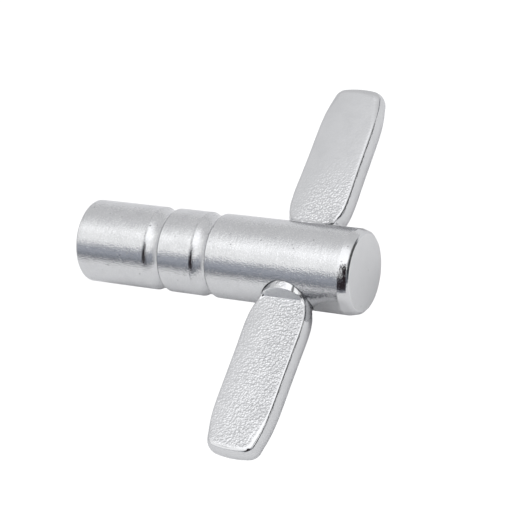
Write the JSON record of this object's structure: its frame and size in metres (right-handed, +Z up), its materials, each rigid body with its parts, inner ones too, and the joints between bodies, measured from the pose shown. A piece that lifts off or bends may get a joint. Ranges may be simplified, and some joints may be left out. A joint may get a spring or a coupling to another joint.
{
  "type": "square spindle key",
  "caption": "T-shaped key: a short round barrel with a blind square socket, two grip grooves and a cross rod forged flat into two wings.",
  "frame": {"origin": "under the middle of the key, on the plane that the barrel lies on, with the barrel's axis 6 mm above it", "axes": "+X along the barrel from the socket mouth to the closed end, +Y along the wings, +Z up, normal to the wing flats"},
  "size_m": [0.043, 0.0594, 0.012],
  "materials": {
    "bright_chrome": "bright nickel-chrome plate over turning marks, with small pits",
    "forged_chrome": "bright nickel-chrome plate over a grainy forged surface"
  },
  "bodies": {
    "root": {"barrel": "bright_chrome", "wing_handle": "forged_chrome"}
  },
  "joints": []
}
